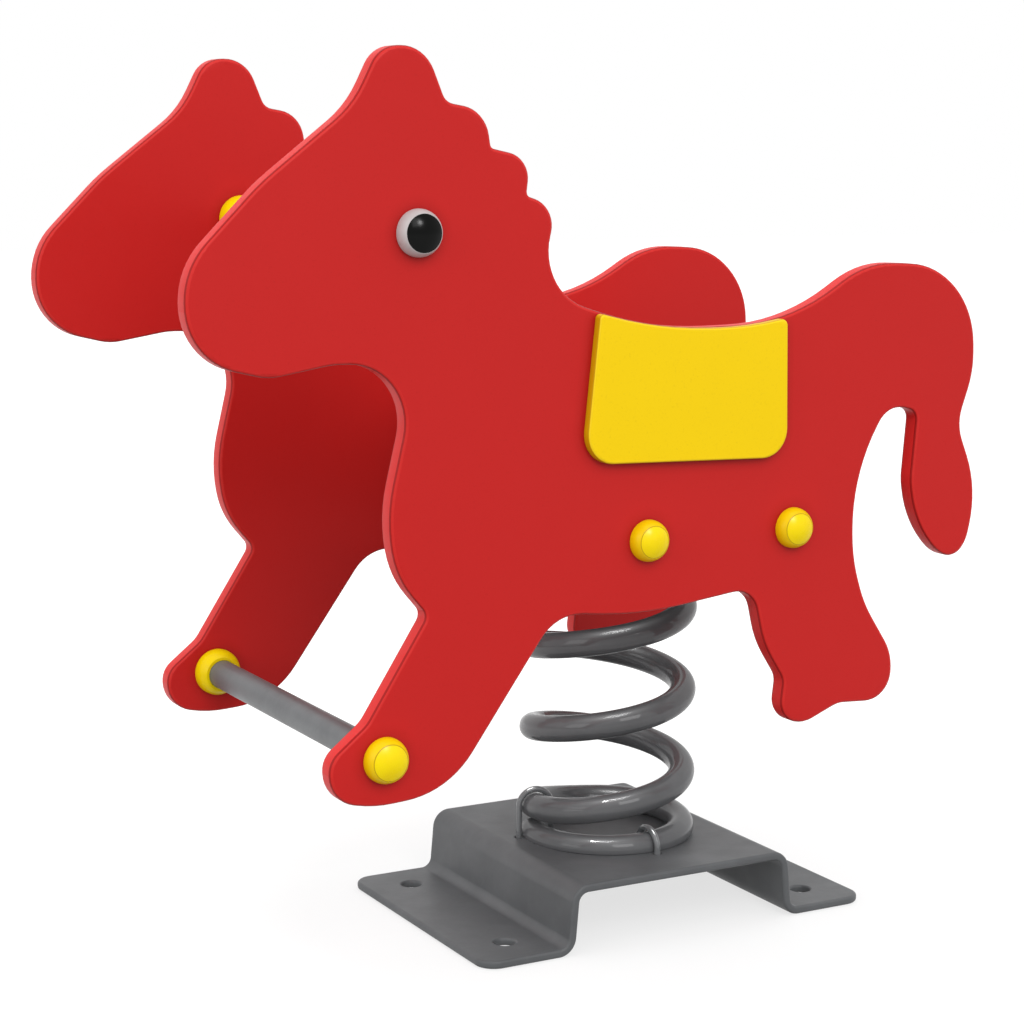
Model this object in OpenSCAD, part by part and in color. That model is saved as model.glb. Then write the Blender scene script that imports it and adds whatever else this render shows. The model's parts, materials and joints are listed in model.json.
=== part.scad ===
// Spring rider: two horse-shaped panels on one coil spring. Millimetres.
// X runs forward to the nose, Y to the rider's left, Z up. The origin is on the ground, on the spring's axis.

/* [Side panels] */

// thickness of each horse panel
panel_t = 19; // [15:1:25]
// clear width between the two panels
panel_gap = 366; // [340:2:400]
// rounding on the panels' cut edges
edge_r = 3; // [2:0.5:4]

/* [Saddle pads] */

// thickness of a saddle pad
pad_t = 8; // [7:0.5:12]
// rounding on the pad's outer edges
pad_edge_r = 2; // [1:0.5:3]
// diameter of the screws that hold the pads
pad_screw_d = 5; // [4:0.5:6]

/* [Coil spring] */

// thickness of the spring bar
wire_d = 26; // [24:0.5:27]
// mean diameter of the coil
coil_d = 150; // [140:1:158]
// rise of one open turn
pitch = 83.5; // [78:0.5:88]
// number of open turns
open_turns = 2.6; // [2.5:0.05:2.7]
// number of closed turns at each end
end_turns = 1.1; // [1.08:0.01:1.12]
// where the lower end of the bar points, in degrees from the nose
start_angle = -21; // [-30:1:-10]

/* [Spring clamps] */

// diameter of the U-bolt rod
rod_d = 6; // [5.5:0.5:7]
// play between rod and spring bar
rod_gap = 0.8; // [0.6:0.1:1.2]
// places of the two clamps along the end turn, in degrees from the bar's end
clamp_at = [9, 113];

/* [Base plate] */

// length of the base plate
base_len = 432; // [422:1:450]
// width of the base plate
base_w = 290; // [270:1:310]
// height of the base plate's top
base_h = 67; // [60:1:75]
// thickness of the plate
base_t = 8; // [6:1:9]
// inner radius of its bends
bend_r = 10; // [8:1:12]
// half length of the flat top, between the bends
base_top = 105; // [104:1:110]
// outward lean of its webs, in degrees
web_lean = 5; // [2:1:8]
// corner radius of its feet
foot_r = 20; // [16:1:30]
// ground hole diameter
ground_d = 20; // [16:1:22]
// distance of the ground holes from the plate's front and rear edges
ground_edge = 46; // [42:1:49]
// distance of the ground holes from the plate's sides
ground_side = 46; // [40:1:52]

/* [Head bracket] */

// thickness of the head bracket's steel
bracket_t = 6; // [5:0.5:8]
// how far the head bracket reaches past the spring, along X
bracket_over = 18; // [15:1:22]
// width of its two lips under the seat
lip_w = 44; // [40:1:50]

/* [Seat] */

// height of the seat board's top
seat_top = 500; // [490:1:510]
// thickness of the seat board
seat_t = 19; // [15:1:22]
// length of the seat board
seat_len = 232; // [220:1:240]
// middle of the seat board along X
seat_x = 14; // [8:1:16]
// seat bolt diameter
seat_bolt_d = 8; // [6:1:8]

/* [Tubes] */

// outer diameter of the handlebar and the footrest bar
tube_d = 28; // [25:0.5:30]
// wall of the tubes
tube_wall = 2.5; // [2:0.25:3]
// handlebar axis along X
handle_x = 311.5; // [306:0.5:316]
// handlebar axis height
handle_z = 677; // [672:1:682]
// footrest axis along X
rest_x = 344; // [338:1:348]
// footrest axis height
rest_z = 230; // [226:1:234]

/* [Panel bolts] */

// diameter of the bolts through the panels
bolt_d = 10; // [8:1:10]
// middle of the two body bolts along X
body_x = 3; // [0:1:6]
// half distance between the two body bolts
body_dx = 79; // [74:1:82]
// height of the body bolts above the spring's head
body_rise = 47.78; // [44:0.02:54]

/* [Covers] */

// diameter at the panel of the covers over the bars' ends, the eyes and the feet
cover_d = 40.5; // [39:0.5:44]
// diameter of their lids
lid_d = 33; // [30:0.5:34]
// height of their bases
cover_h = 12; // [11:0.5:15]
// diameter at the panel of the four body covers
body_cover_d = 38; // [36:0.5:40]
// diameter of their lids
body_lid_d = 30; // [29.5:0.5:32]
// height of their bases
body_cover_h = 11.5; // [11:0.5:13]
// rise of a domed lid
lid_h = 4.5; // [4:0.5:6]
// diameter of the tube flanges on the inner faces
flange_d = 46; // [44:1:50]
// height of the tube flanges
flange_h = 16; // [13:0.5:18]

/* [Fits] */

// play of a bolt in its hole
bolt_fit = 0.6; // [0.4:0.1:1]
// play of a tube in its flange, and of a plug in its tube
tube_fit = 0.3; // [0.2:0.05:0.5]
// play between the coil's ground ends and the plates
seat_fit = 0.3; // [0.2:0.05:0.5]

/* [Hidden] */

$fn = 96;
// most that a chord may stray from its arc, on the boards and on the base plate's bends
board_sag = 0.1;
bend_sag = 0.02;
round_steps = 2;
face_over = 0.4;

y_in = panel_gap / 2;
y_out = y_in + panel_t;

wire_r = wire_d / 2;
coil_r = coil_d / 2;
end_span = 360 * end_turns;
end_rise = wire_d * 1.31;
coil_span = 2 * end_span + 360 * open_turns;
coil_h_all = 2 * end_rise + pitch * open_turns;
head_z = base_h + coil_h_all;
body_z = head_z + body_rise;
end_angle = start_angle + coil_span;
rings_per_turn = 36;
bar_sides = 16;

arch_r = wire_r + rod_gap + rod_d / 2;
clamp_nut_af = rod_d + 6;
clamp_nut_h = rod_d * 0.85;
clamp_washer_d = rod_d + 8;
clamp_washer_t = 1.5;

bend_out = bend_r + base_t;
ground_dx = base_len - 2 * ground_edge;
ground_dy = base_w - 2 * ground_side;

bracket_len = coil_d + wire_d + 2 * bracket_over;
bracket_r = 8;
bracket_y = y_in - 0.1;
lip_z = seat_top - seat_t;

head_h = bolt_d * 0.64;
head_af = bolt_d * 1.7;
nut_h = bolt_d * 0.8;
washer_d = bolt_d * 2.1;
washer_t = 2;
cover_floor = 2;
cup_r = 12.2;
plug_len = 25;

seat_dx = 75;
seat_y = y_in - lip_w / 2 - 4;
seat_head_d = seat_bolt_d * 2.4;
seat_head_h = seat_bolt_d * 0.6;

screw_head_d = pad_screw_d * 2;
screw_head_h = pad_screw_d * 0.6;
screw_grip = pad_t - 2.5;
screw_sink = 0.3;
pad_screws_at = [[115, 514], [-40, 514], [112, 574], [-40, 572]];

panel_bolts_at = [
    [handle_x, handle_z], [rest_x, rest_z], [body_x + body_dx, body_z], [body_x - body_dx, body_z]
];

// Corners of the horse panel: X, Z and the radius of the corner, from the ear backwards.
horse = [
    // ear
    [345.5, 829.5, 27], [304, 831, 32],
    // three scallops of the mane
    [284.5, 784.5, 13], [247, 778.5, 29],
    [242, 747, 5], [203.5, 739, 22],
    [207.5, 707, 5], [177.5, 697.5, 24],
    // neck, saddle and rump
    [195, 625.5, 52], [80, 588.5, 390], [-68.5, 590, 215], [-155, 643.5, 105], [-282, 638, 82],
    // tail
    [-286.5, 537, 96], [-268.5, 486.5, 42], [-296, 422, 110], [-284, 370.5, 33],
    [-268.5, 354.5, 18], [-248, 364, 42], [-220, 395, 100], [-213.5, 435, 56],
    // gap behind the hind leg
    [-219, 502, 11], [-184.5, 509, 27], [-145.5, 444.5, 175], [-148, 364.5, 155], [-163, 320.5, 120],
    // hind foot
    [-198.5, 267.5, 50], [-195, 222.5, 28], [-135, 226, 34], [-95.5, 210.5, 30],
    [-66.5, 218.5, 22], [-71, 256, 17], [-47, 293, 100],
    // belly
    [-34.5, 346.5, 24], [85.5, 332, 370], [175, 341, 46],
    // front foot
    [282, 193, 86], [352.5, 188.5, 118], [394.5, 198, 30], [396, 233.5, 23], [360, 262, 32],
    // knee, chest and throat
    [302, 351.5, 10], [331.5, 386, 84], [341, 437.5, 138], [310, 568, 52],
    // jaw, muzzle and forehead
    [388, 570, 70], [446.5, 560.5, 52], [514, 577, 56], [521, 649, 68], [452, 718.5, 215], [370, 781.5, 92]
];

// Corners of the saddle pad, in the same order.
pad = [
    [138.5, 605.5, 4], [76, 589, 430], [-20, 588.5, 345], [-60.5, 595.5, 6],
    [-63.5, 467, 26], [152.5, 473, 27]
];

// Outlines with rounded corners

function unit(v) = v / norm(v);
function turn(a, b) = atan2(a.x * b.y - a.y * b.x, a * b);
function spin(v, a) = [v.x * cos(a) - v.y * sin(a), v.x * sin(a) + v.y * cos(a)];

// Angle of one chord of an arc.
function chord_angle(r, sag) = min(15, 2 * acos(1 - sag / r));

// One corner's arc, as points of X, Z and the outward direction there. Radius 0 is a plain corner.
function corner_arc(a, p, b, sag) =
    p.z == 0 ? [[p.x, p.y, 0, 0]]
    : let (
        d1 = unit([p.x - a.x, p.y - a.y]),
        d2 = unit([b.x - p.x, b.y - p.y]),
        w = turn(d1, d2),
        r = p.z * sign(w),
        n1 = [d1.y, -d1.x],
        c = [p.x, p.y] - d1 * p.z * tan(abs(w) / 2) - n1 * r,
        k = ceil(abs(w) / chord_angle(p.z, sag))
    )
    [for (i = [0:k]) let (n = spin(n1, w * i / k)) [c.x + n.x * r, c.y + n.y * r, n.x, n.y]];

function outline(corners, sag) =
    let (m = len(corners))
    [for (i = [0:m - 1]) each corner_arc(corners[(i + m - 1) % m], corners[i], corners[(i + 1) % m], sag)];

// Rings of a plate's rounded edge, as inset and Y: the first carries the rounding on, out past the face at y.
function side_rings(y, e, s) =
    let (a = 90 / round_steps)
    concat(
        [[e + (e == 0 ? 0 : face_over * sin(a) / (1 - cos(a))), y - s * face_over]],
        e == 0 ? []
        : [for (k = [1:round_steps]) [e * (1 - sin(k * a)), y + s * e * (1 - cos(k * a))]]
    );

function flip(list) = [for (i = [len(list) - 1:-1:0]) list[i]];

// A loft through those rings, a little thicker than the plate.
module plate_form(corners, y0, y1, e0, e1) {
    pts = outline(corners, board_sag);
    rings = concat(side_rings(y0, e0, 1), flip(side_rings(y1, e1, -1)));
    n = len(pts);
    m = len(rings);
    polyhedron(
        points = [for (g = rings) for (p = pts) [p.x - g.x * p[2], g.y, p.y - g.x * p[3]]],
        faces = concat(
            [[for (i = [n - 1:-1:0]) i]],
            [[for (i = [0:n - 1]) (m - 1) * n + i]],
            [
                for (j = [0:m - 2]) for (i = [0:n - 1])
                    let (a = j * n + i, b = j * n + (i + 1) % n)
                    each [[a, b, b + n], [a, b + n, a + n]]
            ]
        ),
        convexity = 10
    );
}

// A board from y0 to y1 with edges rounded by e0 and e1. The children are cut out of it.
module rounded_plate(corners, y0, y1, e0, e1) {
    margin = 20;
    x0 = min([for (c = corners) c.x]) - margin;
    x1 = max([for (c = corners) c.x]) + margin;
    z0 = min([for (c = corners) c.y]) - margin;
    z1 = max([for (c = corners) c.y]) + margin;
    intersection() {
        difference() {
            translate([x0, y0, z0])
                cube([x1 - x0, y1 - y0, z1 - z0]);
            children();
        }
        plate_form(corners, y0, y1, e0, e1);
    }
}

// Placing

// Local +Z points out of the panel on that side, from the panel's outer face.
module on_panel(x, z, s) {
    translate([x, s * y_out, z])
        rotate([-90 * s, 0, 0])
            children();
}

module both_sides() {
    children();
    mirror([0, 1, 0])
        children();
}

module body_places() {
    for (s = [1, -1])
        for (d = [1, -1])
            on_panel(body_x + d * body_dx, body_z, s)
                children();
}

// Coil spring

// Height of the bar's middle over its plate, along one end turn: first ground flat, then up over its own end.
end_knots = [
    [0, wire_d * 0.08],
    [end_span * 0.28, wire_d * 0.155],
    [end_span * 0.6, wire_d * 0.46],
    [end_span * 0.75, wire_r + seat_fit],
    [end_span * 0.885, wire_d * 1.15],
    [end_span, end_rise]
];

function coil_rise(u) =
    u < end_span ? lookup(u, end_knots)
    : u > coil_span - end_span ? coil_h_all - lookup(coil_span - u, end_knots)
    : end_rise + pitch * (u - end_span) / 360;

function coil_h(u) =
    (coil_rise(u - 24) + coil_rise(u - 12) + coil_rise(u) + coil_rise(u + 12) + coil_rise(u + 24)) / 5;

function coil_mid(u) =
    [coil_r * cos(start_angle + u), coil_r * sin(start_angle + u), base_h + coil_h(u)];

function coil_slope(u) = atan2((coil_h(u + 1) - coil_h(u - 1)) * 180 / PI, 2 * coil_r);

// The bar's ends are ground flat where they lie on the plates.
function ground_end(p) = [p.x, p.y, min(max(p.z, base_h + seat_fit), head_z - seat_fit)];

function bar_ring(u) =
    let (
        c = coil_mid(u),
        a = start_angle + u,
        b = coil_slope(u),
        e1 = [cos(a), sin(a), 0],
        e2 = [sin(a) * sin(b), -cos(a) * sin(b), cos(b)]
    )
    [for (k = [0:bar_sides - 1]) let (f = 360 * k / bar_sides)
        ground_end(c + wire_r * (cos(f) * e1 + sin(f) * e2))];

// Least distance between one turn of the bar and the next.
turn_gap = min([
    for (u = [0:10:coil_span - 200])
        for (v = [u + 200:10:min(u + 520, coil_span)])
            norm(coil_mid(u) - coil_mid(v)) - wire_d
]);
echo(turn_gap = turn_gap);

module coil_spring() {
    n = ceil(coil_span / 360 * rings_per_turn);
    q = bar_sides;
    color([0.36, 0.37, 0.38])
        polyhedron(
            points = [for (i = [0:n]) each bar_ring(coil_span * i / n)],
            faces = concat(
                [[for (k = [0:q - 1]) k]],
                [[for (k = [q - 1:-1:0]) n * q + k]],
                [for (i = [0:n - 1]) for (k = [0:q - 1])
                    [i * q + k, (i + 1) * q + k, (i + 1) * q + (k + 1) % q]],
                [for (i = [0:n - 1]) for (k = [0:q - 1])
                    [i * q + k, (i + 1) * q + (k + 1) % q, i * q + (k + 1) % q]]
            ),
            convexity = 10
        );
}

// Clamps

// Height of the bar over its plate where a clamp goes over it; the first one also holds the second turn.
function clamp_rise(i) = i == 0 ? coil_h(clamp_at[i] + 360) : coil_h(clamp_at[i]);

// The clamps of the lower end, or of the upper end seen upside down, with the plate's face at Z = 0.
module clamp_places(top) {
    translate([0, 0, top ? head_z : base_h])
        mirror([0, 0, top ? 1 : 0])
            for (i = [0:len(clamp_at) - 1])
                rotate(top ? end_angle - clamp_at[i] : start_angle + clamp_at[i])
                    translate([coil_r, 0, 0]) {
                        $rise = clamp_rise(i);
                        children();
                    }
}

module clamp_legs() {
    for (s = [1, -1])
        translate([s * arch_r, 0, 0])
            children();
}

module u_bolt(plate_t) {
    tail = plate_t + clamp_washer_t + clamp_nut_h + 3;
    translate([0, 0, $rise])
        rotate([90, 0, 0])
            rotate_extrude(angle = 180)
                translate([arch_r, 0])
                    circle(d = rod_d);
    clamp_legs()
        translate([0, 0, -tail])
            cylinder(d = rod_d, h = $rise + tail);
}

module clamp_holes(plate_t) {
    clamp_legs()
        translate([0, 0, -plate_t - 1])
            cylinder(d = rod_d + bolt_fit, h = plate_t + 2);
}

module clamp_washer(plate_t) {
    clamp_legs()
        translate([0, 0, -plate_t - clamp_washer_t])
            ring(clamp_washer_d, rod_d + bolt_fit, clamp_washer_t);
}

module clamp_nut(plate_t) {
    clamp_legs()
        translate([0, 0, -plate_t - clamp_washer_t - clamp_nut_h])
            hex_nut(clamp_nut_af, rod_d + bolt_fit, clamp_nut_h);
}

module base_clamps() {
    color([0.40, 0.41, 0.42])
        clamp_places(false)
            u_bolt(base_t);
}

module base_clamp_washers() {
    color([0.55, 0.56, 0.58])
        clamp_places(false)
            clamp_washer(base_t);
}

module base_clamp_nuts() {
    color([0.55, 0.56, 0.58])
        clamp_places(false)
            clamp_nut(base_t);
}

module head_clamps() {
    color([0.40, 0.41, 0.42])
        clamp_places(true)
            u_bolt(bracket_t);
}

module head_clamp_washers() {
    color([0.55, 0.56, 0.58])
        clamp_places(true)
            clamp_washer(bracket_t);
}

module head_clamp_nuts() {
    color([0.55, 0.56, 0.58])
        clamp_places(true)
            clamp_nut(bracket_t);
}

// Bent plates

// Part of a flat ring, from angle a0 to a1.
module ring_sector(r_in, r_out, a0, a1) {
    far = 2 * r_out;
    mid = (a0 + a1) / 2;
    intersection() {
        difference() {
            circle(r_out);
            circle(r_in);
        }
        polygon([
            [0, 0],
            [far * cos(a0), far * sin(a0)],
            [far * cos(mid), far * sin(mid)],
            [far * cos(a1), far * sin(a1)]
        ]);
    }
}

// X of the web's outer face, or of its inner face for r = bend_r, at height z.
function web_x(r, z) = base_top + (r + (base_h - bend_out - z) * sin(web_lean)) / cos(web_lean);

// Front half of the base plate's section, top face first and then its underside.
hat_top = [
    [base_len / 2, 0, 0], [base_len / 2, base_t, 0],
    [web_x(bend_out, base_t), base_t, bend_r], [web_x(bend_out, base_h), base_h, bend_out]
];
hat_under = [[web_x(bend_r, base_h - base_t), base_h - base_t, bend_r], [web_x(bend_r, 0), 0, bend_out]];

function behind(list) = [for (c = flip(list)) [-c.x, c.y, c.z]];

module hat_section() {
    polygon([
        for (q = outline(concat(hat_top, behind(hat_top), behind(hat_under), hat_under), bend_sag)) [q.x, q.y]
    ]);
}

// What is cut off the four corners of the feet.
module foot_corner_cuts() {
    for (sx = [1, -1])
        for (sy = [1, -1])
            mirror([sx < 0 ? 1 : 0, 0, 0])
                mirror([0, sy < 0 ? 1 : 0, 0])
                    translate([base_len / 2 - foot_r, base_w / 2 - foot_r, -1])
                        linear_extrude(base_t + 2)
                            difference() {
                                square(foot_r + 1);
                                circle(foot_r);
                            }
}

module base_plate() {
    color([0.40, 0.41, 0.42])
        difference() {
            rotate([90, 0, 0])
                linear_extrude(base_w, center = true)
                    hat_section();
            foot_corner_cuts();
            for (sx = [1, -1])
                for (sy = [1, -1])
                    translate([sx * ground_dx / 2, sy * ground_dy / 2, -1])
                        cylinder(d = ground_d, h = base_t + 2);
            clamp_places(false)
                clamp_holes(base_t);
        }
}

// Half of the head bracket's section, from its middle to the left panel.
module bracket_half() {
    r_out = bracket_r + bracket_t;
    translate([0, head_z])
        square([bracket_y - r_out, bracket_t]);
    translate([bracket_y - r_out, head_z + r_out])
        ring_sector(bracket_r, r_out, 270, 360);
    translate([bracket_y - bracket_t, head_z + r_out])
        square([bracket_t, lip_z - head_z - 2 * r_out]);
    translate([bracket_y - r_out, lip_z - r_out])
        ring_sector(bracket_r, r_out, 0, 90);
    translate([bracket_y - lip_w, lip_z - bracket_t])
        square([lip_w - r_out, bracket_t]);
}

module head_bracket() {
    color([0.30, 0.31, 0.32])
        difference() {
            translate([body_x, 0, 0])
                rotate([90, 0, 90])
                    linear_extrude(bracket_len, center = true)
                        union() {
                            bracket_half();
                            mirror([1, 0])
                                bracket_half();
                        }
            body_places()
                translate([0, 0, -panel_t - bracket_t - 1])
                    cylinder(d = bolt_d + bolt_fit, h = bracket_t + 2);
            seat_places()
                translate([0, 0, -seat_t - bracket_t - 1])
                    cylinder(d = seat_bolt_d + bolt_fit, h = bracket_t + 2);
            clamp_places(true)
                clamp_holes(bracket_t);
        }
}

// Panels and saddle pads

module left_panel_shape() {
    rounded_plate(horse, y_in, y_out, edge_r, edge_r) {
        for (p = panel_bolts_at)
            on_panel(p.x, p.y, 1)
                translate([0, 0, -panel_t - 1])
                    cylinder(d = bolt_d + bolt_fit, h = panel_t + 2);
        pad_screw_places() {
            translate([0, 0, -1])
                cylinder(d = pad_screw_d + bolt_fit, h = panel_t + 2);
            translate([0, 0, screw_sink])
                countersink();
        }
    }
}

module left_panel() {
    color([0.78, 0.16, 0.16])
        left_panel_shape();
}

module right_panel() {
    color([0.78, 0.16, 0.16])
        mirror([0, 1, 0])
            left_panel_shape();
}

// A cone round a screw's head, run on past both of its ends.
module countersink() {
    over = 1.3;
    slope = (screw_head_d - pad_screw_d) / screw_head_h;
    translate([0, 0, -over])
        cylinder(
            d1 = screw_head_d + bolt_fit + slope * over,
            d2 = pad_screw_d + bolt_fit - slope * over,
            h = screw_head_h + 2 * over
        );
}

// Local +Z points outwards, from the left panel's inner face.
module pad_screw_places() {
    for (p = pad_screws_at)
        translate([p.x, y_in, p.y])
            rotate([-90, 0, 0])
                children();
}

module left_pad_shape() {
    rounded_plate(pad, y_out, y_out + pad_t, 0, pad_edge_r)
        pad_screw_places()
            translate([0, 0, panel_t - 1])
                cylinder(d = pad_screw_d + bolt_fit / 2, h = screw_grip + 1.4);
}

module left_saddle_pad() {
    color([0.97, 0.83, 0.11])
        left_pad_shape();
}

module right_saddle_pad() {
    color([0.97, 0.83, 0.11])
        mirror([0, 1, 0])
            left_pad_shape();
}

module pad_screws() {
    color([0.62, 0.63, 0.65])
        both_sides()
            pad_screw_places() {
                translate([0, 0, screw_sink])
                    cylinder(d1 = screw_head_d, d2 = pad_screw_d, h = screw_head_h);
                translate([0, 0, screw_sink + screw_head_h])
                    cylinder(d = pad_screw_d, h = panel_t + screw_grip - screw_sink - screw_head_h);
            }
}

// Seat

// Local Z = 0 is the seat board's top.
module seat_places() {
    for (sx = [1, -1])
        for (sy = [1, -1])
            translate([body_x + sx * seat_dx, sy * seat_y, seat_top])
                children();
}

module seat_board() {
    color([0.78, 0.16, 0.16])
        difference() {
            translate([0, 0, lip_z])
                linear_extrude(seat_t)
                    difference() {
                        translate([seat_x - seat_len / 2, -y_in + 0.5])
                            square([seat_len, panel_gap - 1]);
                        seat_corner_cuts();
                    }
            seat_places()
                translate([0, 0, -seat_t - 1])
                    cylinder(d = seat_bolt_d + bolt_fit, h = seat_t + 2);
        }
}

module seat_corner_cuts() {
    r = 18;
    for (sx = [1, -1])
        for (sy = [1, -1])
            translate([seat_x, 0])
                mirror([sx < 0 ? 1 : 0, 0])
                    mirror([0, sy < 0 ? 1 : 0])
                        translate([seat_len / 2 - r, y_in - 0.5 - r])
                            difference() {
                                square(r + 1);
                                circle(r);
                            }
}

module seat_bolts() {
    r = (pow(seat_head_d / 2, 2) + pow(seat_head_h, 2)) / (2 * seat_head_h);
    color([0.62, 0.63, 0.65])
        seat_places() {
            rotate_extrude()
                intersection() {
                    translate([0, seat_head_h - r])
                        circle(r);
                    square([seat_head_d, seat_head_h]);
                }
            translate([0, 0, -seat_t - bracket_t - seat_bolt_d - 5])
                cylinder(d = seat_bolt_d, h = seat_t + bracket_t + seat_bolt_d + 5);
        }
}

module seat_washers() {
    color([0.55, 0.56, 0.58])
        seat_places()
            translate([0, 0, -seat_t - bracket_t - 1.6])
                ring(seat_bolt_d * 2, seat_bolt_d + bolt_fit, 1.6);
}

module seat_nuts() {
    color([0.55, 0.56, 0.58])
        seat_places()
            translate([0, 0, -seat_t - bracket_t - 1.6 - seat_bolt_d * 0.8])
                hex_nut(seat_bolt_d * 1.625, seat_bolt_d + bolt_fit, seat_bolt_d * 0.8);
}

// Bars between the panels

module bar(x, z) {
    translate([x, 0, z])
        rotate([90, 0, 0])
            difference() {
                cylinder(d = tube_d, h = panel_gap - 0.2, center = true);
                cylinder(d = tube_d - 2 * tube_wall, h = panel_gap + 2, center = true);
            }
}

// A threaded plug in each end of a bar.
module bar_plugs(x, z) {
    for (s = [1, -1])
        on_panel(x, z, s)
            translate([0, 0, -panel_t - 0.1 - plug_len])
                ring(tube_d - 2 * tube_wall - tube_fit, bolt_d + bolt_fit, plug_len);
}

// Half round section of a dome: radius r0 at the foot, r1 at height h.
module dome_half(r0, r1, h) {
    foot = 1.5;
    d = r0 - r1;
    rise = h - foot;
    rho = (d * d + rise * rise) / (2 * d);
    intersection() {
        union() {
            square([r0, foot]);
            translate([r0 - rho, foot])
                circle(rho);
            square([r1, h]);
        }
        square([r0, h]);
    }
}

module bar_flange(x, z, s) {
    bore = tube_d / 2 + tube_fit;
    color([0.97, 0.83, 0.11])
        on_panel(x, z, s)
            translate([0, 0, -panel_t])
                mirror([0, 0, 1])
                    rotate_extrude()
                        difference() {
                            dome_half(flange_d / 2, tube_d / 2 + 3, flange_h);
                            translate([-1, -1])
                                square([bore + 1, flange_h + 2]);
                        }
}

module bar_bolts(x, z) {
    reach = cover_floor + panel_t + plug_len - 4;
    for (s = [1, -1])
        on_panel(x, z, s)
            panel_bolt(reach);
}

module bar_washers(x, z) {
    for (s = [1, -1])
        on_panel(x, z, s)
            translate([0, 0, cover_floor])
                ring(washer_d, bolt_d + bolt_fit, washer_t);
}

module handlebar() {
    color([0.42, 0.43, 0.45])
        bar(handle_x, handle_z);
}

module handlebar_plugs() {
    color([0.55, 0.56, 0.58])
        bar_plugs(handle_x, handle_z);
}

module handlebar_bolts() {
    color([0.62, 0.63, 0.65])
        bar_bolts(handle_x, handle_z);
}

module handlebar_washers() {
    color([0.55, 0.56, 0.58])
        bar_washers(handle_x, handle_z);
}

module footrest_bar() {
    color([0.42, 0.43, 0.45])
        bar(rest_x, rest_z);
}

module footrest_plugs() {
    color([0.55, 0.56, 0.58])
        bar_plugs(rest_x, rest_z);
}

module footrest_bolts() {
    color([0.62, 0.63, 0.65])
        bar_bolts(rest_x, rest_z);
}

module footrest_washers() {
    color([0.55, 0.56, 0.58])
        bar_washers(rest_x, rest_z);
}

// Bolts through the panels

module ring(d_out, d_in, h) {
    difference() {
        cylinder(d = d_out, h = h);
        translate([0, 0, -1])
            cylinder(d = d_in, h = h + 2);
    }
}

module hex_nut(af, d_in, h) {
    difference() {
        cylinder(d = af / cos(30), h = h, $fn = 6);
        translate([0, 0, -1])
            cylinder(d = d_in, h = h + 2);
    }
}

// Hex bolt whose head sits on the washer in a cover; reach is counted from under the washer.
module panel_bolt(reach) {
    translate([0, 0, cover_floor + washer_t])
        cylinder(d = head_af / cos(30), h = head_h, $fn = 6);
    translate([0, 0, cover_floor - reach])
        cylinder(d = bolt_d, h = reach + washer_t);
}

module body_bolts() {
    color([0.62, 0.63, 0.65])
        body_places()
            panel_bolt(cover_floor + panel_t + bracket_t + washer_t + nut_h + 4);
}

module body_washers() {
    color([0.55, 0.56, 0.58])
        body_places() {
            translate([0, 0, cover_floor])
                ring(washer_d, bolt_d + bolt_fit, washer_t);
            translate([0, 0, -panel_t - 0.1 - bracket_t - washer_t])
                ring(washer_d, bolt_d + bolt_fit, washer_t);
        }
}

module body_nuts() {
    color([0.55, 0.56, 0.58])
        body_places()
            translate([0, 0, -panel_t - 0.1 - bracket_t - washer_t - nut_h])
                hex_nut(head_af, bolt_d + bolt_fit, nut_h);
}

// Covers over the bolt heads

// d and h are the base's diameter and height, lid its lid's diameter.
module cover_base_shape(d, h, lid) {
    rotate_extrude()
        difference() {
            dome_half(d / 2, lid / 2, h);
            translate([-1, -1])
                square([1 + (bolt_d + bolt_fit) / 2, h + 2]);
            translate([-1, cover_floor])
                square([1 + cup_r, h]);
        }
}

module cover_lid_shape(h, lid) {
    r = lid / 2 - 0.2;
    rho = (r * r + lid_h * lid_h) / (2 * lid_h);
    translate([0, 0, h])
        rotate_extrude()
            union() {
                difference() {
                    intersection() {
                        translate([0, lid_h - rho])
                            circle(rho);
                        square([r, lid_h]);
                    }
                    translate([0, lid_h - rho - 2])
                        circle(rho);
                }
                translate([cup_r - 1.6, -3])
                    square([1.4, 3.8]);
            }
}

module bar_cover_base(x, z, s, tint) {
    color(tint)
        on_panel(x, z, s)
            cover_base_shape(cover_d, cover_h, lid_d);
}

module bar_cover_lid(x, z, s, tint) {
    color(tint)
        on_panel(x, z, s)
            cover_lid_shape(cover_h, lid_d);
}

module body_cover_base(x, s) {
    color(yellow)
        on_panel(x, body_z, s)
            cover_base_shape(body_cover_d, body_cover_h, body_lid_d);
}

module body_cover_lid(x, s) {
    color(yellow)
        on_panel(x, body_z, s)
            cover_lid_shape(body_cover_h, body_lid_d);
}

yellow = [0.97, 0.83, 0.11];
eye_white = [0.88, 0.86, 0.86];
eye_black = [0.08, 0.08, 0.08];
front_x = body_x + body_dx;
rear_x = body_x - body_dx;

base_plate();
base_clamps();
base_clamp_washers();
base_clamp_nuts();
coil_spring();
head_bracket();
head_clamps();
head_clamp_washers();
head_clamp_nuts();
left_panel();
right_panel();
left_saddle_pad();
right_saddle_pad();
pad_screws();
seat_board();
seat_bolts();
seat_washers();
seat_nuts();
handlebar();
handlebar_plugs();
bar_flange(handle_x, handle_z, 1);  // left_handlebar_flange
bar_flange(handle_x, handle_z, -1);  // right_handlebar_flange
handlebar_bolts();
handlebar_washers();
bar_cover_base(handle_x, handle_z, 1, eye_white);  // left_eye_base
bar_cover_lid(handle_x, handle_z, 1, eye_black);  // left_eye_lid
bar_cover_base(handle_x, handle_z, -1, eye_white);  // right_eye_base
bar_cover_lid(handle_x, handle_z, -1, eye_black);  // right_eye_lid
footrest_bar();
footrest_plugs();
bar_flange(rest_x, rest_z, 1);  // left_footrest_flange
bar_flange(rest_x, rest_z, -1);  // right_footrest_flange
footrest_bolts();
footrest_washers();
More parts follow.
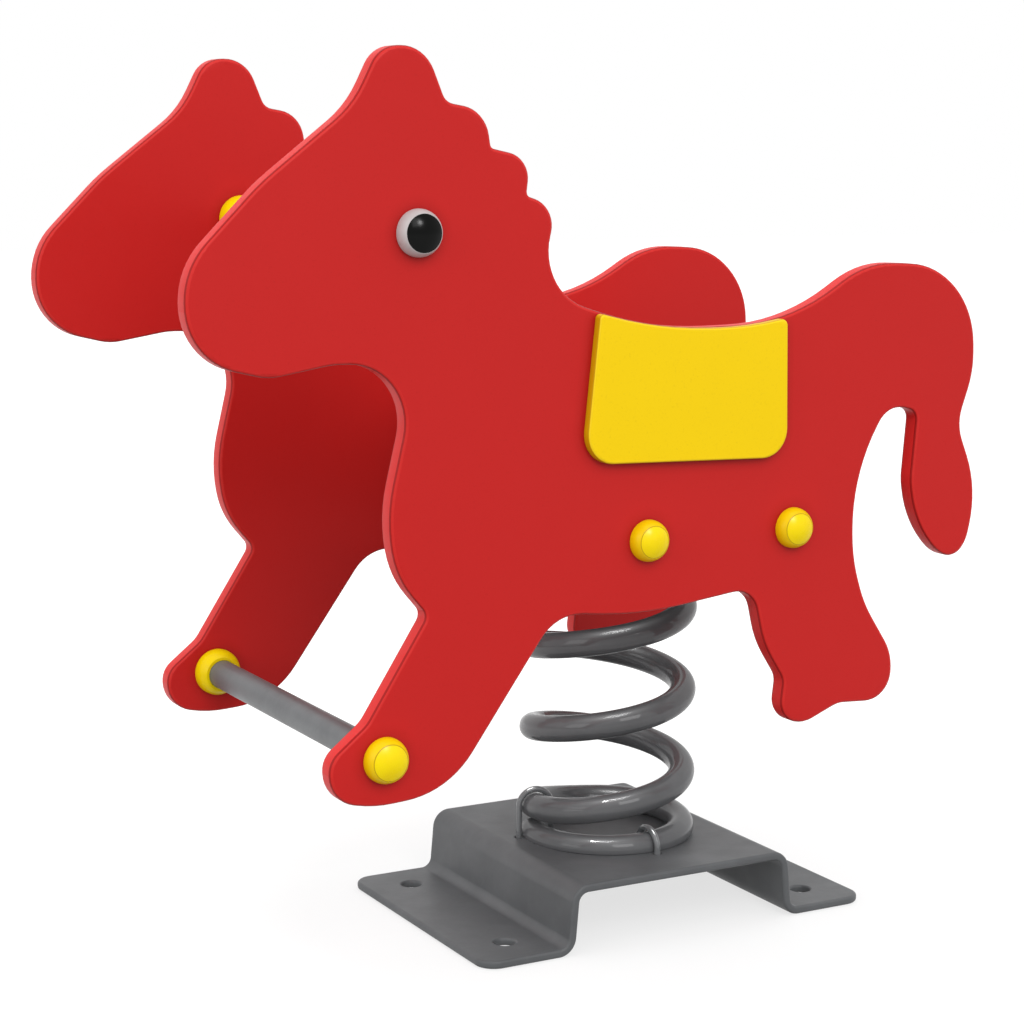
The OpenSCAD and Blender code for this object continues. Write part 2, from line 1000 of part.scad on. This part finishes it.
bar_cover_base(rest_x, rest_z, 1, yellow);  // left_footrest_cover_base
bar_cover_lid(rest_x, rest_z, 1, yellow);  // left_footrest_cover_lid
bar_cover_base(rest_x, rest_z, -1, yellow);  // right_footrest_cover_base
bar_cover_lid(rest_x, rest_z, -1, yellow);  // right_footrest_cover_lid
body_bolts();
body_washers();
body_nuts();
body_cover_base(front_x, 1);  // left_front_cover_base
body_cover_lid(front_x, 1);  // left_front_cover_lid
body_cover_base(rear_x, 1);  // left_rear_cover_base
body_cover_lid(rear_x, 1);  // left_rear_cover_lid
body_cover_base(front_x, -1);  // right_front_cover_base
body_cover_lid(front_x, -1);  // right_front_cover_lid
body_cover_base(rear_x, -1);  // right_rear_cover_base
body_cover_lid(rear_x, -1);  // right_rear_cover_lid
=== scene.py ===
import json
import math

import bpy
from mathutils import Matrix, Vector


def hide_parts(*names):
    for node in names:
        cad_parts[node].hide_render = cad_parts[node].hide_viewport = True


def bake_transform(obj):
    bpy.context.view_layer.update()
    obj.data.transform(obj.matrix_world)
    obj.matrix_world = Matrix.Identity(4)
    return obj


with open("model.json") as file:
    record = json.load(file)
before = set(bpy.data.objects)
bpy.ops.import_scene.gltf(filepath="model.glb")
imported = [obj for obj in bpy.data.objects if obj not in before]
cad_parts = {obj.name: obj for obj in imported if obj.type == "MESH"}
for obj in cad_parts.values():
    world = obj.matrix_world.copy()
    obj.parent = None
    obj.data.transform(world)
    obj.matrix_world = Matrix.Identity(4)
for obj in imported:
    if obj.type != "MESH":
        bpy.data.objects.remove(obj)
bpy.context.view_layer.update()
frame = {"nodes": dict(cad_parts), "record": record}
nodes = frame["nodes"]
scene = bpy.context.scene


def linear(r, g, b):
    """A colour given in sRGB steps of 0 to 255, as linear numbers."""
    def one(c):
        c /= 255
        return c / 12.92 if c <= 0.04045 else ((c + 0.055) / 1.055) ** 2.4
    return (one(r), one(g), one(b), 1.0)


# Camera, fitted to the photograph

CAMERA_AT = (1.18831, 1.95778, 0.75054)
YAW, TILT, ROLL = (math.radians(a) for a in (-118.846, -8.925, 0.270))
SENSOR_MM, LENS_MM = 36, 82.41
CLIP_NEAR, CLIP_FAR = 0.05, 60


def make_camera():
    level = math.cos(TILT)
    forward = Vector((level * math.cos(YAW), level * math.sin(YAW), math.sin(TILT)))
    flat_right = Vector((math.sin(YAW), -math.cos(YAW), 0))
    flat_up = flat_right.cross(forward)
    right = math.cos(ROLL) * flat_right + math.sin(ROLL) * flat_up
    up = math.cos(ROLL) * flat_up - math.sin(ROLL) * flat_right
    data = bpy.data.cameras.new("camera")
    data.sensor_width = SENSOR_MM
    data.lens = LENS_MM
    data.clip_start, data.clip_end = CLIP_NEAR, CLIP_FAR
    cam = bpy.data.objects.new("camera", data)
    scene.collection.objects.link(cam)
    turn = Matrix((right, up, -forward)).transposed().to_4x4()
    cam.matrix_world = Matrix.Translation(CAMERA_AT) @ turn
    scene.camera = cam


make_camera()


# Light, world and floor, in metres and watts

WORLD_LIGHT = 1.0
FLOOR_HALF, FLOOR_Z = 14, -0.0005
# Share of the light that the floor gives back, and the distances between which its white rises to full
FLOOR_SHARE, WHITE_NEAR, WHITE_FAR = 0.28, 0.3, 0.9
LAMP_AIM = (0.1, 0.0, 0.4)
# Name, place, side and power of each lamp
LAMPS = [
    ("key", (0.6, 4.6, 3.4), 2.4, 80),
    ("front", (3.0, 0.6, 1.4), 1.6, 15),
    ("top", (0.1, 0.1, 3.0), 1.4, 8),
]


def make_world():
    world = bpy.data.worlds.new("studio")
    world.use_nodes = True
    tree = world.node_tree
    tree.nodes.clear()
    out = tree.nodes.new("ShaderNodeOutputWorld")
    white = tree.nodes.new("ShaderNodeBackground")
    white.inputs["Color"].default_value = (1, 1, 1, 1)
    white.inputs["Strength"].default_value = WORLD_LIGHT
    tree.links.new(white.outputs[0], out.inputs["Surface"])
    scene.world = world


def seen_rays(tree):
    """1 for what the camera, a gloss or a glass shows, 0 for the light that falls on the object."""
    path = tree.nodes.new("ShaderNodeLightPath")
    seen = path.outputs["Is Camera Ray"]
    for kind in ("Is Glossy Ray", "Is Transmission Ray"):
        either = tree.nodes.new("ShaderNodeMath")
        either.operation = "MAXIMUM"
        tree.links.new(seen, either.inputs[0])
        tree.links.new(path.outputs[kind], either.inputs[1])
        seen = either.outputs[0]
    return seen


def floor_look():
    """Matt, with a white of its own where it is seen, so that only the shadow near the object shows."""
    mat = bpy.data.materials.new("floor_white")
    mat.use_nodes = True
    tree = mat.node_tree
    tree.nodes.clear()
    out = tree.nodes.new("ShaderNodeOutputMaterial")
    matt = tree.nodes.new("ShaderNodeBsdfDiffuse")
    matt.inputs["Color"].default_value = (FLOOR_SHARE, FLOOR_SHARE, FLOOR_SHARE, 1)
    place = tree.nodes.new("ShaderNodeTexCoord")
    away = tree.nodes.new("ShaderNodeVectorMath")
    away.operation = "LENGTH"
    tree.links.new(place.outputs["Object"], away.inputs[0])
    rise = tree.nodes.new("ShaderNodeMapRange")
    rise.inputs["From Min"].default_value = WHITE_NEAR
    rise.inputs["From Max"].default_value = WHITE_FAR
    rise.inputs["To Min"].default_value = 1 - FLOOR_SHARE
    rise.inputs["To Max"].default_value = 1.0
    tree.links.new(away.outputs["Value"], rise.inputs["Value"])
    glow = tree.nodes.new("ShaderNodeEmission")
    glow.inputs["Color"].default_value = (1, 1, 1, 1)
    tree.links.new(rise.outputs[0], glow.inputs["Strength"])
    both = tree.nodes.new("ShaderNodeAddShader")
    mix = tree.nodes.new("ShaderNodeMixShader")
    tree.links.new(matt.outputs[0], both.inputs[0])
    tree.links.new(glow.outputs[0], both.inputs[1])
    tree.links.new(seen_rays(tree), mix.inputs["Fac"])
    tree.links.new(matt.outputs[0], mix.inputs[1])
    tree.links.new(both.outputs[0], mix.inputs[2])
    tree.links.new(mix.outputs[0], out.inputs["Surface"])
    return mat


def make_floor():
    corners = [(x * FLOOR_HALF, y * FLOOR_HALF, FLOOR_Z) for x, y in ((-1, -1), (1, -1), (1, 1), (-1, 1))]
    mesh = bpy.data.meshes.new("floor")
    mesh.from_pydata(corners, [], [(0, 1, 2, 3)])
    mesh.materials.append(floor_look())
    floor = bpy.data.objects.new("floor", mesh)
    scene.collection.objects.link(floor)


def soft_lamp(name, at, side, power, aim=LAMP_AIM):
    data = bpy.data.lights.new(name, "AREA")
    data.shape = "SQUARE"
    data.size = side
    data.energy = power
    lamp = bpy.data.objects.new(name, data)
    scene.collection.objects.link(lamp)
    lamp.location = at
    lamp.rotation_mode = "QUATERNION"
    lamp.rotation_quaternion = (Vector(aim) - Vector(at)).to_track_quat("-Z", "Y")
    return lamp


def glint_lamp(name, at, side, power, aim, shown_on):
    """A lamp that shows only as small lights in the glossy pieces named, and casts no shadow."""
    lamp = soft_lamp(name, at, side, power, aim)
    lamp.data.use_shadow = False
    lamp.visible_diffuse = False
    group = bpy.data.collections.new(name + "_shown_on")
    for obj in shown_on:
        group.objects.link(obj)
    lamp.light_linking.receiver_collection = group


make_world()
make_floor()
for lamp_values in LAMPS:
    soft_lamp(*lamp_values)


# Materials

# Painted contact shade: how near another piece darkens a board, in metres, and how far toward its dark colour
CONTACT_SHADE_REACH, CONTACT_SHADE_MOST = 0.013, 0.85
# Where the painted shade of the seam around a lid starts, and how wide its soft side is, as shares of the
# lid's width
SEAM_START, SEAM_FADE = 0.47, 0.012
# How much finer a board's router marks are across its edge than along it
MARKS = {"Y": (1.0, 16.0, 1.0), "Z": (1.0, 1.0, 16.0)}
COAT_ROUGH = 0.08


class Nodes:
    """A material's node tree with short calls for the few nodes used here."""

    def __init__(self, name):
        self.mat = bpy.data.materials.new(name)
        self.mat.use_nodes = True
        self.tree = self.mat.node_tree
        self.tree.nodes.clear()
        self.out = self.add("ShaderNodeOutputMaterial")
        self.bsdf = self.add("ShaderNodeBsdfPrincipled")
        self.link(self.bsdf.outputs[0], self.out.inputs["Surface"])
        self.place = self.add("ShaderNodeTexCoord").outputs["Object"]

    def add(self, kind):
        return self.tree.nodes.new(kind)

    def link(self, a, b):
        self.tree.links.new(a, b)

    def colour(self, value):
        self.link(value, self.bsdf.inputs["Base Color"])

    def rough(self, noise, spread, least):
        """Roughness that a noise spreads upward from the least."""
        value = self.math("ADD", self.math("MULTIPLY", noise, spread), least)
        self.link(value, self.bsdf.inputs["Roughness"])

    def specular(self, level):
        self.bsdf.inputs["Specular IOR Level"].default_value = level

    def noise(self, scale, detail, rough, stretch=None):
        place = self.place
        if stretch:
            m = self.add("ShaderNodeMapping")
            m.inputs["Scale"].default_value = stretch
            self.link(place, m.inputs["Vector"])
            place = m.outputs[0]
        n = self.add("ShaderNodeTexNoise")
        n.inputs["Scale"].default_value = scale
        n.inputs["Detail"].default_value = detail
        n.inputs["Roughness"].default_value = rough
        self.link(place, n.inputs["Vector"])
        return n.outputs["Fac"]

    def steps(self, value, *stops):
        """A ramp through stops of a place and a colour or a grey."""
        ramp = self.add("ShaderNodeValToRGB")
        e = ramp.color_ramp.elements
        while len(e) < len(stops):
            e.new(0.5)
        for el, (at, c) in zip(e, stops):
            el.position = at
            el.color = c if isinstance(c, tuple) else (c, c, c, 1)
        self.link(value, ramp.inputs["Fac"])
        return ramp.outputs["Color"]

    def math(self, op, a, b):
        n = self.add("ShaderNodeMath")
        n.operation = op
        for i, v in enumerate((a, b)):
            if isinstance(v, (int, float)):
                n.inputs[i].default_value = v
            else:
                self.link(v, n.inputs[i])
        return n.outputs[0]

    def mix(self, fac, a, b):
        n = self.add("ShaderNodeMix")
        n.data_type = "RGBA"
        for socket, v in ((0, fac), (6, a), (7, b)):
            if isinstance(v, (int, float, tuple)):
                n.inputs[socket].default_value = v
            else:
                self.link(v, n.inputs[socket])
        return n.outputs[2]

    def bump(self, *layers):
        """Bumps of a height, a strength and a distance, one on another."""
        last = None
        for height, strength, distance in layers:
            b = self.add("ShaderNodeBump")
            b.inputs["Strength"].default_value = strength
            b.inputs["Distance"].default_value = distance
            self.link(height, b.inputs["Height"])
            if last is not None:
                self.link(last, b.inputs["Normal"])
            last = b.outputs[0]
        self.link(last, self.bsdf.inputs["Normal"])

    def corner_wear(self, low, high):
        """From 0 on flat ground to 1 on the outer corners of a piece."""
        g = self.add("ShaderNodeNewGeometry")
        r = self.add("ShaderNodeMapRange")
        r.inputs["From Min"].default_value = low
        r.inputs["From Max"].default_value = high
        self.link(g.outputs["Pointiness"], r.inputs["Value"])
        return r.outputs[0]

    def contact_shade(self):
        """Painted contact shade: from 0 on open ground to the most where another piece stands close by."""
        n = self.add("ShaderNodeAmbientOcclusion")
        n.samples = 8
        n.inputs["Distance"].default_value = CONTACT_SHADE_REACH
        return self.steps(n.outputs["AO"], (0.6, CONTACT_SHADE_MOST), (0.97, 0.0))

    def seam(self):
        """From 0 inside to 1 on the outermost ring of a round piece whose axis lies along Y, where a seam's
        shade is painted.
        """
        c = self.add("ShaderNodeTexCoord")
        m = self.add("ShaderNodeMapping")
        m.inputs["Location"].default_value = (-0.5, 0.0, -0.5)
        m.inputs["Scale"].default_value = (1.0, 0.0, 1.0)
        self.link(c.outputs["Generated"], m.inputs["Vector"])
        away = self.add("ShaderNodeVectorMath")
        away.operation = "LENGTH"
        self.link(m.outputs[0], away.inputs[0])
        return self.steps(away.outputs["Value"], (SEAM_START, 0.0), (SEAM_START + SEAM_FADE, 1.0))

    def facing(self, across):
        """How square a facet stands to the piece's own axis: 1 on a board's sides, 0 on its cut edge."""
        g = self.add("ShaderNodeNewGeometry")
        own = self.add("ShaderNodeVectorTransform")
        own.vector_type = "NORMAL"
        own.convert_from, own.convert_to = "WORLD", "OBJECT"
        self.link(g.outputs["True Normal"], own.inputs[0])
        s = self.add("ShaderNodeSeparateXYZ")
        self.link(own.outputs[0], s.inputs[0])
        return self.math("ABSOLUTE", s.outputs[across], 0)


def board(name, colours, spec, across="Y"):
    """Plastic board: pebbled sides, router marks on the cut edge, a painted shade line and a painted
    highlight line between, and painted shade near other pieces.
    """
    face, edge, painted_shade_and_fleck, rim = (linear(*c) for c in colours)
    m = Nodes(name)
    turned = m.facing(across)
    # Across the rounding, a painted shade line and then a painted highlight line; the cut edge's colour is
    # partly painted light
    tone = m.steps(turned, (0.0, edge), (0.2, edge), (0.38, painted_shade_and_fleck), (0.6, painted_shade_and_fleck), (0.9, rim), (0.995, face))
    cloud = m.noise(9, 4, 0.6)
    fleck = m.noise(420, 2, 0.6)
    tone = m.mix(m.steps(cloud, (0.3, 0.05), (0.7, 0.0)), tone, painted_shade_and_fleck)
    tone = m.mix(m.steps(fleck, (0.58, 0.0), (0.75, 0.16)), tone, painted_shade_and_fleck)
    # Painted shade: the board darkens toward its dark colour where another piece stands close by
    m.colour(m.mix(m.contact_shade(), tone, painted_shade_and_fleck))
    side = m.steps(turned, (0.35, 0.0), (0.95, 1.0))
    pebble = m.noise(900, 2, 0.5)
    marks = m.noise(70, 2, 0.6, MARKS[across])
    m.bump((cloud, 0.03, 0.002), (m.mix(side, marks, pebble), 0.08, 0.0006))
    m.rough(m.noise(60, 4, 0.65), 0.14, 0.36)
    m.specular(spec)
    return m.mat


def gloss(name, colours, rough, spec, seam=None):
    """Moulded glossy plastic: soft flow clouding, a very fine ripple, and on a lid painted shade in its seam.
    """
    dark, middle, light = (linear(*c) for c in colours)
    m = Nodes(name)
    tone = m.steps(m.noise(38, 3, 0.6), (0.28, dark), (0.5, middle), (0.75, light))
    if seam:
        # Painted shade: the lid's outer ring darkens where its seam with the base lies
        tone = m.mix(m.seam(), tone, linear(*seam))
    m.colour(tone)
    m.bump((m.noise(260, 2, 0.5), 0.05, 0.0005), (m.noise(40, 2, 0.5), 0.05, 0.002))
    m.rough(m.noise(90, 4, 0.6), 0.12, rough)
    m.specular(spec)
    return m.mat


def paint(name, colours, rough, peel, coat, spec):
    """Powder-coated steel: orange peel, faint clouding, dust-dull patches and thin corners."""
    dark, middle, light = (linear(*c) for c in colours)
    m = Nodes(name)
    base = m.steps(m.noise(14, 5, 0.62), (0.3, dark), (0.5, middle), (0.72, light))
    patches = m.steps(m.noise(120, 4, 0.7), (0.45, 0.0), (0.7, 0.35))
    m.colour(m.mix(m.math("MULTIPLY", m.corner_wear(0.52, 0.62), patches), base, light))
    m.bump((m.noise(260, 2, 0.5), peel, 0.0008), (m.noise(1100, 2, 0.6), peel * 0.6, 0.0003))
    m.rough(m.noise(34, 5, 0.65), 0.2, rough)
    m.specular(spec)
    m.bsdf.inputs["Coat Weight"].default_value = coat
    m.bsdf.inputs["Coat Roughness"].default_value = COAT_ROUGH
    return m.mat


def zinc(name):
    """Zinc-plated steel: fine turning marks and a slightly milky, blotchy bloom."""
    dark, middle, light = (0.36, 0.37, 0.38, 1), (0.56, 0.57, 0.58, 1), (0.7, 0.7, 0.69, 1)
    m = Nodes(name)
    bloom = m.noise(160, 5, 0.65)
    m.colour(m.steps(bloom, (0.3, dark), (0.55, middle), (0.8, light)))
    m.bsdf.inputs["Metallic"].default_value = 1.0
    m.bump((m.noise(700, 2, 0.6, (1.0, 7.0, 1.0)), 0.12, 0.0003))
    m.rough(bloom, 0.25, 0.25)
    return m.mat


# Colours of a board: its side, its cut edge (partly painted light: lighter on the red, darker on the yellow),
# and the painted shade line and painted highlight line on its rounding
RED = [(200, 31, 29), (222, 40, 38), (160, 16, 14), (212, 42, 38)]
YELLOW = [(254, 214, 4), (226, 180, 6), (206, 160, 4), (252, 214, 30)]
# Colours of the other looks: the dark, the middle and the light of their clouding
CAP = [(240, 208, 2), (246, 216, 3), (250, 221, 5)]
CAP_BASE = [(236, 196, 2), (242, 204, 3), (246, 210, 5)]
CAP_LID = [(248, 216, 2), (252, 222, 3), (254, 228, 5)]
# Painted shade in the seam between a cover's lid and its base
CAP_SEAM_SHADE = (196, 160, 2)
EYE_WHITE = [(182, 180, 180), (190, 188, 188), (198, 196, 196)]
EYE_BLACK = [(5, 6, 5), (6, 7, 6), (9, 10, 9)]
SPRING_GREY = [(85, 86, 88), (92, 93, 95), (100, 101, 103)]
BASE_GREY = [(85, 87, 89), (91, 93, 95), (100, 102, 104)]
CLAMP_GREY = [(92, 94, 96), (104, 106, 108), (126, 128, 130)]
TUBE_GREY = [(94, 96, 98), (100, 102, 104), (110, 112, 114)]

looks = {
    "red_board": board("red_board", RED, 0.2),
    "red_seat": board("red_seat", RED, 0.2, "Z"),
    "yellow_board": board("yellow_board", YELLOW, 0.16),
    "yellow_cap": gloss("yellow_cap", CAP, 0.24, 0.16),
    "yellow_cap_base": gloss("yellow_cap_base", CAP_BASE, 0.26, 0.16),
    "yellow_cap_lid": gloss("yellow_cap_lid", CAP_LID, 0.22, 0.16, CAP_SEAM_SHADE),
    "eye_white": gloss("eye_white", EYE_WHITE, 0.3, 0.25),
    "eye_black": gloss("eye_black", EYE_BLACK, 0.14, 0.1),
    "spring_paint": paint("spring_paint", SPRING_GREY, 0.4, 0.02, 0.5, 0.12),
    "base_paint": paint("base_paint", BASE_GREY, 0.36, 0.10, 0.0, 0.35),
    "clamp_steel": paint("clamp_steel", CLAMP_GREY, 0.2, 0.05, 0.6, 0.5),
    "tube_paint": paint("tube_paint", TUBE_GREY, 0.3, 0.08, 0.0, 0.4),
    "zinc": zinc("zinc"),
}
slot_of = {s["node"]: s["material_slot"] for s in frame["record"]["subparts"]}


def look_of(name):
    """A node's look: its record's slot, or one of its own for the flat seat and a yellow cover's halves."""
    if name == "seat_board":
        return "red_seat"
    slot = slot_of[name]
    half = slot + "_" + name.rsplit("_", 1)[-1]
    return half if half in looks else slot


# Smooth faces and rounded edges, in metres and degrees

WELD_GAP = 0.00002
FLAT_ANGLE, SHARP_ANGLE = 0.4, 45
# Angle up to which neighbouring faces are smoothed, on the boards and on the rest
BOARD_CREASE, CREASE = 50, 32
# Rounding of the plates' cut edges
EDGES = {"base_plate": 0.0028, "head_bracket": 0.0015, "seat_board": 0.003}


def soften(obj, width):
    """Joins the flat triangles of a plate and rounds its sharp edges."""
    flat = obj.modifiers.new("flat", "DECIMATE")
    flat.decimate_type = "DISSOLVE"
    flat.angle_limit = math.radians(FLAT_ANGLE)
    rim = obj.modifiers.new("rim", "BEVEL")
    rim.width = width
    rim.segments = 3
    rim.limit_method = "ANGLE"
    rim.angle_limit = math.radians(SHARP_ANGLE)
    rim.use_clamp_overlap = False


def smooth(obj, angle, rounding):
    """Welds the importer's split corners and smooths across edges flatter than the angle."""
    weld = obj.modifiers.new("weld", "WELD")
    weld.merge_threshold = WELD_GAP
    if rounding:
        soften(obj, rounding)
    obj.data.polygons.foreach_set("use_smooth", [True] * len(obj.data.polygons))
    edge = obj.modifiers.new("edges", "EDGE_SPLIT")
    edge.use_edge_sharp = False
    edge.split_angle = math.radians(angle)
    even = obj.modifiers.new("normals", "WEIGHTED_NORMAL")
    even.mode = "FACE_AREA"
    even.weight = 60


for name, obj in nodes.items():
    obj.data.materials.clear()
    obj.data.materials.append(looks[look_of(name)])
    is_board = "panel" in name or "pad" in name
    smooth(obj, BOARD_CREASE if is_board else CREASE, EDGES.get(name, 0.0))


# Coil spring: one bar in two lengths

WIRE, COIL_R = 0.026, 0.075
BASE_H, PITCH, TURNS, START = 0.067, 0.0835, 2.6, -21.0
FIT, END_SPAN = 0.0003, 396.0
END_RISE = WIRE * 1.31
SPAN = 2 * END_SPAN + 360 * TURNS
HEIGHT = 2 * END_RISE + PITCH * TURNS
# Angle along a closed end and the bar's height there
KNOTS = [
    (0, WIRE * 0.08), (END_SPAN * 0.28, WIRE * 0.155), (END_SPAN * 0.6, WIRE * 0.46),
    (END_SPAN * 0.75, WIRE / 2 + FIT), (END_SPAN * 0.885, WIRE * 1.15), (END_SPAN, END_RISE),
]
# Angles over which the height is averaged, so that the bar has no kinks
EVEN_OUT = (-24, -12, 0, 12, 24)
BAR_SIDES, BAR_STEP = 32, 5.0


def end_turn(u):
    if u <= 0:
        return KNOTS[0][1]
    for (u0, z0), (u1, z1) in zip(KNOTS, KNOTS[1:]):
        if u <= u1:
            return z0 + (z1 - z0) * (u - u0) / (u1 - u0)
    return END_RISE


def coil_rise(u):
    if u < END_SPAN:
        return end_turn(u)
    if u > SPAN - END_SPAN:
        return HEIGHT - end_turn(SPAN - u)
    return END_RISE + PITCH * (u - END_SPAN) / 360


def coil_h(u):
    return sum(coil_rise(u + d) for d in EVEN_OUT) / len(EVEN_OUT)


def bar_ring(u):
    """The bar's section at u as points and outward directions; None where the ends are ground flat."""
    a = math.radians(START + u)
    b = math.atan2((coil_h(u + 1) - coil_h(u - 1)) * 180 / math.pi, 2 * COIL_R)
    mid = Vector((COIL_R * math.cos(a), COIL_R * math.sin(a), BASE_H + coil_h(u)))
    e1 = Vector((math.cos(a), math.sin(a), 0))
    e2 = Vector((math.sin(a) * math.sin(b), -math.cos(a) * math.sin(b), math.cos(b)))
    low, high = BASE_H + FIT, BASE_H + HEIGHT - FIT
    ring = []
    for k in range(BAR_SIDES):
        f = 2 * math.pi * k / BAR_SIDES
        out = math.cos(f) * e1 + math.sin(f) * e2
        p = mid + WIRE / 2 * out
        ground = not low < p.z < high
        p.z = min(max(p.z, low), high)
        ring.append((p, None if ground else out))
    return ring


def bar_faces(n, cap0, cap1):
    """The faces between n + 1 rings, with a cap on the first and the last where asked."""
    faces = []
    for i in range(n):
        for k in range(BAR_SIDES):
            here, there = i * BAR_SIDES, (i + 1) * BAR_SIDES
            j = (k + 1) % BAR_SIDES
            faces.append((here + k, there + k, there + j, here + j))
    if cap0:
        faces.append(tuple(range(BAR_SIDES)))
    if cap1:
        faces.append(tuple(n * BAR_SIDES + k for k in reversed(range(BAR_SIDES))))
    return faces


def spring_length(name, u0, u1, cap0, cap1):
    n = math.ceil((u1 - u0) / BAR_STEP)
    rings = [bar_ring(u0 + (u1 - u0) * i / n) for i in range(n + 1)]
    points = [p for ring in rings for p, out in ring]
    outs = [out for ring in rings for p, out in ring]
    faces = bar_faces(n, cap0, cap1)
    mesh = bpy.data.meshes.new(name)
    mesh.from_pydata(points, [], faces)
    mesh.polygons.foreach_set("use_smooth", [True] * len(faces))
    mesh.normals_split_custom_set([
        outs[v] if len(p.vertices) == 4 and outs[v] is not None else p.normal
        for p in mesh.polygons for v in p.vertices
    ])
    obj = bpy.data.objects.new(name, mesh)
    scene.collection.objects.link(obj)
    mesh.materials.append(looks["spring_paint"])
    return obj


lower = spring_length("coil_spring_lower", 0, SPAN / 2, True, False)
upper = spring_length("coil_spring_upper", SPAN / 2, SPAN, False, True)
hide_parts("coil_spring")
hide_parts("coil_spring")
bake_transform(lower)
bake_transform(upper)


# Small lights in the spring, the clamps and the lids

bars = [lower, upper, nodes["base_clamps"], nodes["head_clamps"]]
lids = [obj for name, obj in nodes.items() if name.endswith("_lid")]
glint_lamp("bar_glint", (0.36, 0.34, 1.84), 0.6, 130, (0.33, 0.3, 0.0), bars)
glint_lamp("lid_glint", (-0.05, 2.7, 2.15), 0.5, 35, (0.2, 0.2, 0.5), lids)
scene.view_settings.view_transform = "Standard"
